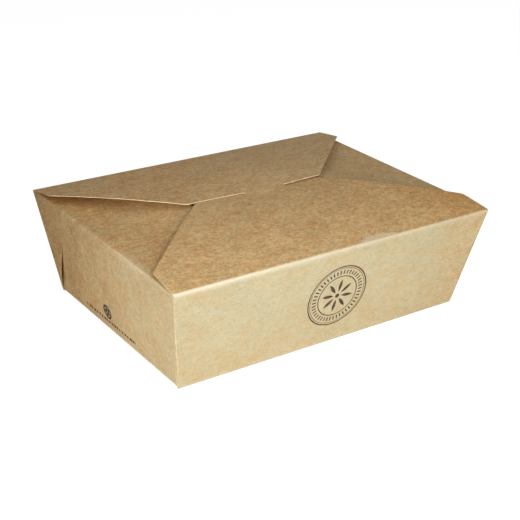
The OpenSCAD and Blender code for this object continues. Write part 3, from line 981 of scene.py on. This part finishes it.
def tab_rows(start):
    """Down from the seam: a small bend, then the circle about the crease."""
    centre_z = SEAM_UP - TAB_BEND
    reach_y, reach_z = TAB_BEND - HINGE_Y, centre_z - HINGE_Z
    arc_r = np.hypot(reach_y, reach_z) + TAB_BEND
    first = math.atan2(reach_z, reach_y)
    last = math.pi - math.asin((SEAM_UP - TAB_DEPTH - HINGE_Z) / arc_r)
    down = round_rows(TAB_BEND, centre_z, TAB_BEND, np.linspace(math.acos(TAB_BEND / VAULT_R), first, 10))
    down += round_rows(HINGE_Y, HINGE_Z, arc_r, np.linspace(first, last, 14)[1:])
    down = np.array(down)
    down[0, :2] = start
    return down


print("the tab hangs", TAB_DEPTH, "mm below the seam")

# %% [markdown]
# The flap is the vault with its crease, the edge of the seam on both sides of the neck, and the tab. It could
# have its own unevenness, but it uses the front flap's formulas for the sag, so that the two lie close.

# %% The rear flap
REAR_COUNTS = [36, 1, 14, 1, 36]
NECK_COLUMNS = [36, 51]  # the narrow columns that the neck's cuts take out


def lid_points(rows, run, x):
    """Points, outward directions and sheet places of rows of the rear flap."""
    y, angle = rows[:, :1], rows[:, 2:]
    outer = grid(x, y, rows[:, 1:2])
    facing = grid(0 * x, np.cos(angle), np.sin(angle))
    free = np.clip((run - 6) / 20, 0, 1) * np.clip((y - 4) / 20, 0, 1)
    outer = outer + facing * (ripple(x + 40, run + 15) * free)[..., None]
    outer[..., 2] += settle(x, y) + pinch(x, y)
    return outer, facing, grid(x, run, LID_PATTERN)


def rear_painted_sheen(x):
    # Painted sheen on the rear flap, stronger towards the right.
    return 0.1 + 0.22 * ease(x, -60, 70)


def rear_halves(rows):
    return [flap_half(rows[:, :1], seam) for seam in (REAR_SEAM_LEFT, REAR_SEAM_RIGHT)]


def rear_knots(rows, run):
    """Knots across the flap: its sides, which widen from the wall's corners, and the neck's cuts."""
    foot = corner_centre(rows[0, 1])[0]
    widen = np.clip(run / (0.4 * run[CREASE_ROWS - 1]), 0, 1)
    left, right = (foot + (half - foot) * widen for half in rear_halves(rows))
    neck = np.array([[TAB_L - NECK_CUT_W, TAB_L, TAB_R, TAB_R + NECK_CUT_W]]) + 0 * left
    return np.hstack([-left, neck, right])


def seam_edges(sheet, seam_run):
    """The last narrow stretch of the flap on each side of the neck, which bends down to the seam."""
    lip = np.array(rear_rows((TAB_BEND, 0.6, 0.3, 0.1, 0.0)))
    lip_run = seam_run + TAB_BEND - lip[:, :1]
    left, right = rear_halves(lip)
    for from_x, to_x in ((-left, TAB_L - NECK_CUT_W + 0 * left), (TAB_R + NECK_CUT_W + 0 * left, right)):
        x = spread(np.hstack([from_x, to_x]), REAR_COUNTS[:1])
        outer, facing, blank = lid_points(lip, lip_run, x)
        sheet.patch(outer, facing, blank, 0, painted_light=rear_painted_sheen(x))


def tab(sheet, start, seam_run):
    """The tab, which tapers below the slit and has rounded corners."""
    down = tab_rows(start)
    run = seam_run + run_along(down)
    slit_z = SEAM_UP - TAB_BEND - 3
    below = np.clip((slit_z - down[:, 1:2]) / (slit_z - (SEAM_UP - TAB_DEPTH)), 0, 1)
    edge = np.clip(1 - (run[-1] - run) / TAB_CORNER, 0, 1)
    inset = TAB_TAPER * below + TAB_CORNER * (1 - np.sqrt(1 - edge ** 2)) * 0.8
    x = spread(np.hstack([TAB_L + inset, TAB_R - inset]), REAR_COUNTS[2:3])
    outer, facing, blank = lid_points(down, run, x)
    # The tab has the rear flap's faint painted sheen.
    sheet.patch(outer, facing, blank, 0, painted_light=0.1)


def rear_flap_piece():
    sheet = Sheet("rear_flap_and_tab")
    rows = flap_rows()
    run = run_along(rows)
    x = spread(rear_knots(rows, run), REAR_COUNTS)
    outer, facing, blank = lid_points(rows, run, x)
    past_crease = np.maximum(run - run[CREASE_ROWS - 1], 0)
    worn = 0.6 * np.exp(-(past_crease / CREASE_REACH) ** 2)
    keep = np.ones((len(rows) - 1, x.shape[1] - 1), bool)
    keep[np.ix_(rows[:-1, 0] <= NECK_CUT + 1e-6, NECK_COLUMNS)] = False
    sheet.patch(outer, facing, blank, worn, keep, painted_light=rear_painted_sheen(x))
    seam_edges(sheet, run[-1])
    tab(sheet, rows[-1, :2], run[-1])
    return sheet.build([KRAFT_REAR_SHEEN, CUT_EDGE])


rear_flap = rear_flap_piece()
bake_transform(rear_flap)
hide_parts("rear_flap")

# %% [markdown]
# The stage is a white floor that still takes the box's shadow, and a white world. More light would whiten
# them too, but it would bleach the box. Instead they are pure white only to the camera and in reflections,
# and for the box they just bounce an even light.

# %% Floor and world
FLOOR_HALF, FLOOR_DROP = 6, 0.0002  # metres


def seen_ray(finish):
    """1 for rays from the camera and for those that a shiny or clear surface sends on, 0 for the rest."""
    kinds = ("Is Camera Ray", "Is Glossy Ray", "Is Transmission Ray")
    camera_ray, glossy_ray, clear_ray = (finish.add("ShaderNodeLightPath", out=kind) for kind in kinds)
    return camera_ray.larger(glossy_ray).larger(clear_ray)


def white_floor():
    finish = Finish("white_floor")
    diffuse = finish.add("ShaderNodeBsdfDiffuse", {"Color": (0.62, 0.62, 0.62, 1)})
    faint = finish.add("ShaderNodeBsdfDiffuse", {"Color": (0.22, 0.22, 0.22, 1)})
    glow = finish.add("ShaderNodeEmission", {"Color": (1, 1, 1, 1), "Strength": 0.97})
    lit = finish.add("ShaderNodeAddShader", {0: faint, 1: glow})
    both = finish.add("ShaderNodeMixShader", {0: seen_ray(finish), 1: diffuse, 2: lit})
    finish.add("ShaderNodeOutputMaterial", {"Surface": both})
    mesh = bpy.data.meshes.new("floor")
    corners = [(x * FLOOR_HALF, y * FLOOR_HALF, -FLOOR_DROP) for x, y in ((-1, -1), (1, -1), (1, 1), (-1, 1))]
    mesh.from_pydata(corners, [], [(0, 1, 2, 3)])
    mesh.materials.append(finish.material)
    floor = bpy.data.objects.new("floor", mesh)
    bpy.context.scene.collection.objects.link(floor)


white_floor()
bpy.context.scene.world = bpy.data.worlds.new("studio")
studio = Finish("studio", bpy.context.scene.world)
white = studio.add("ShaderNodeBackground", {"Strength": seen_ray(studio) * 0.97 + 0.03})
studio.add("ShaderNodeOutputWorld", {"Surface": white})
print("floor and world are white to the camera")

# %% [markdown]
# Seven round soft boxes light the box. A single large one would light every face alike. The front one stands
# low, so that the front wall is bright. The back, side and top ones carry the lid, each from another way, so
# that the vaults and lapping edges stay soft and the lid keeps a deeper brown. The last three are weak and
# narrow: they lift the left end wall, the near corner and the right of the front wall.

# %% Lamps
WHOLE_BOX, NEAR_CORNER, FRONT_RIGHT = (0, 0, 0.04), (-0.105, -0.065, 0.03), (0.09, -0.08, 0.03)


def soft_box(name, at, towards, size, power, cone=180):
    """A round lamp. Places and size are in metres, power in watts, and the cone of its light in degrees."""
    light = bpy.data.lights.new(name, "AREA")
    light.shape, light.size, light.energy, light.spread = "DISK", size, power, math.radians(cone)
    lamp = bpy.data.objects.new(name, light)
    away = np.array(at, float) - np.array(towards, float)
    away /= np.linalg.norm(away)
    right = np.cross([0, 0, 1], away)
    right /= np.linalg.norm(right)
    lamp.matrix_world = placed(right, np.cross(away, right), away, at)
    bpy.context.scene.collection.objects.link(lamp)


soft_box("front_box", (-0.08, -0.35, 0.17), WHOLE_BOX, 0.25, 0.65)
soft_box("back_box", (0.06, 0.457, 0.426), WHOLE_BOX, 0.3, 0.63)
soft_box("side_box", (0.76, -0.16, 0.70), WHOLE_BOX, 0.3, 1.38)
soft_box("top_box", (-0.18, -0.2, 0.6), WHOLE_BOX, 0.3, 0.52)
soft_box("left_box", (-0.385, -0.185, 0.11), NEAR_CORNER, 0.22, 0.13, cone=50)
soft_box("corner_box", (-0.204, -0.353, 0.14), NEAR_CORNER, 0.25, 0.055, cone=50)
soft_box("right_box", (0.102, -0.381, 0.11), FRONT_RIGHT, 0.22, 0.079, cone=60)
print("lamps", sum(lamp.energy for lamp in bpy.data.lights), "W in all")

# %% [markdown]
# Last, the colours are shown as they are.

# %% Colours shown as they are
bpy.context.scene.view_settings.view_transform = "Standard"
